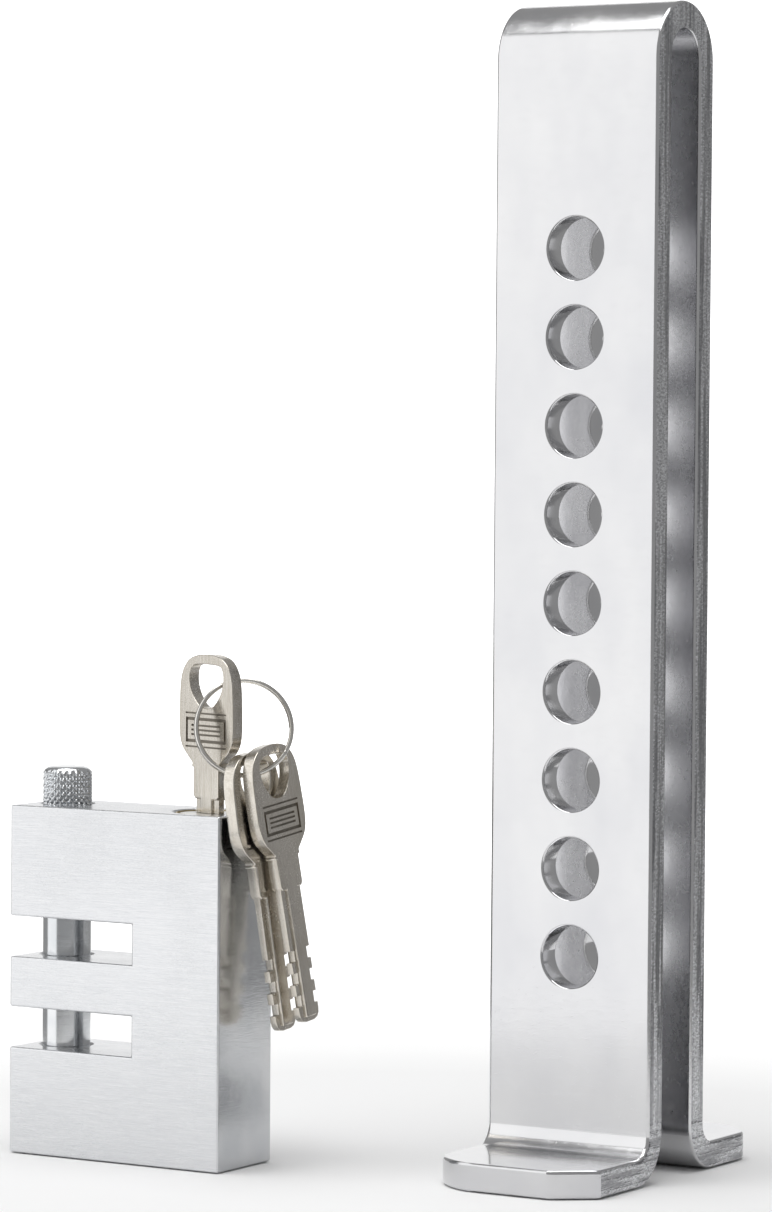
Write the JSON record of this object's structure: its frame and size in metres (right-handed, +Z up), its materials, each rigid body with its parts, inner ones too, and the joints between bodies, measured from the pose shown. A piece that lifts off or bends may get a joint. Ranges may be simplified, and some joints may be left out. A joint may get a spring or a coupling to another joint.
{
  "type": "pedal lock",
  "caption": "Chrome hairpin pedal lock bar on two feet, with a slotted block padlock, knurled pin, ring and keys.",
  "frame": {"origin": "middle of the whole set's footprint, on the floor", "axes": "+Z up along the bar, strip width along X, the bar's legs facing -Y and +Y"},
  "size_m": [0.1256, 0.0812, 0.226],
  "materials": {
    "chrome": "polished chrome plate",
    "block_metal": "bright nickel plate over fine brushing",
    "pin_metal": "bright plated steel, knurled head",
    "cylinder_brass": "satin",
    "plug_metal": "nickel plated, satin",
    "leaf_metal": "stamped",
    "spring_metal": "drawn wire",
    "works_steel": "plain turned steel",
    "key_nickel": "warm nickel plate, satin",
    "ring_metal": "bright nickel plated wire"
  },
  "bodies": {
    "bar": {"u_bar": "chrome"},
    "padlock": {"lock_body": "block_metal", "cylinder_housing": "cylinder_brass", "housing_pin": "works_steel", "bore_stopper": "block_metal"},
    "pin": {"locking_pin": "pin_metal"},
    "plug": {"cylinder_plug": "plug_metal", "cam": "works_steel", "tumbler_spring_1": "spring_metal", "tumbler_spring_2": "spring_metal", "tumbler_spring_3": "spring_metal", "tumbler_spring_4": "spring_metal"},
    "bolt": {"locking_bolt": "works_steel", "bolt_yoke": "works_steel"},
    "key": {"key_in_lock": "key_nickel"},
    "ring": {"key_ring": "ring_metal"},
    "spare_1": {"spare_key_1": "key_nickel"},
    "spare_2": {"spare_key_2": "key_nickel"},
    "tumbler_1": {"tumbler_1": "leaf_metal"},
    "tumbler_2": {"tumbler_2": "leaf_metal"},
    "tumbler_3": {"tumbler_3": "leaf_metal"},
    "tumbler_4": {"tumbler_4": "leaf_metal"}
  },
  "joints": [
    {"name": "padlock_shift", "type": "slide", "parent": "bar", "child": "padlock", "axis": [-1, 0, 0], "range_m": [0, 0.05]},
    {"name": "pin_lift", "type": "slide", "parent": "padlock", "child": "pin", "axis": [0, 0, 1], "range_m": [0, 0.04]},
    {"name": "plug_turn", "type": "hinge", "parent": "padlock", "child": "plug", "pos_m": [-0.02185, -0.0311, 0.069], "axis": [0, 0, -1], "range_deg": [0, 90]},
    {"name": "bolt_throw", "type": "slide", "parent": "padlock", "child": "bolt", "axis": [-1, 0, 0], "range_m": [0, 0.0017]},
    {"name": "key_withdraw", "type": "slide", "parent": "plug", "child": "key", "axis": [0, 0, 1], "range_m": [0, 0.026]},
    {"name": "tumbler_1_slide", "type": "slide", "parent": "plug", "child": "tumbler_1", "axis": [-0.9511, 0.309, 0], "range_m": [0, 0.0009], "deforming": ["tumbler_spring_1"]},
    {"name": "tumbler_2_slide", "type": "slide", "parent": "plug", "child": "tumbler_2", "axis": [-0.9511, 0.309, 0], "range_m": [0, 0.0009], "deforming": ["tumbler_spring_2"]},
    {"name": "tumbler_3_slide", "type": "slide", "parent": "plug", "child": "tumbler_3", "axis": [-0.9511, 0.309, 0], "range_m": [0, 0.0009], "deforming": ["tumbler_spring_3"]},
    {"name": "tumbler_4_slide", "type": "slide", "parent": "plug", "child": "tumbler_4", "axis": [-0.9511, 0.309, 0], "range_m": [0, 0.0009], "deforming": ["tumbler_spring_4"]},
    {"name": "ring_swing", "type": "hinge", "parent": "key", "child": "ring", "pos_m": [-0.0148, -0.03007, 0.08556], "axis": [0.6053, -0.7748, 0.1822], "range_deg": [0, 36]},
    {"name": "spare_1_swing", "type": "hinge", "parent": "ring", "child": "spare_1", "pos_m": [-0.00975, -0.02788, 0.07807], "axis": [0.6053, -0.7748, 0.1822], "range_deg": [0, 18]},
    {"name": "spare_2_swing", "type": "hinge", "parent": "ring", "child": "spare_2", "pos_m": [-0.0125, -0.03039, 0.07656], "axis": [0.6053, -0.7748, 0.1822], "range_deg": [0, 18]}
  ],
  "couplings": [
    {"joint": "bolt_throw", "follows": "plug_turn", "m_per_rad": 0.0010823},
    {"joint": "ring_swing", "follows": "plug_turn", "ratio": 0.4},
    {"joint": "spare_1_swing", "follows": "plug_turn", "ratio": 0.2},
    {"joint": "spare_2_swing", "follows": "plug_turn", "ratio": 0.2},
    {"joint": "tumbler_1_slide", "follows": "key_withdraw", "ratio": 0.0346},
    {"joint": "tumbler_2_slide", "follows": "key_withdraw", "ratio": 0.0346},
    {"joint": "tumbler_3_slide", "follows": "key_withdraw", "ratio": 0.0346},
    {"joint": "tumbler_4_slide", "follows": "key_withdraw", "ratio": 0.0346}
  ]
}
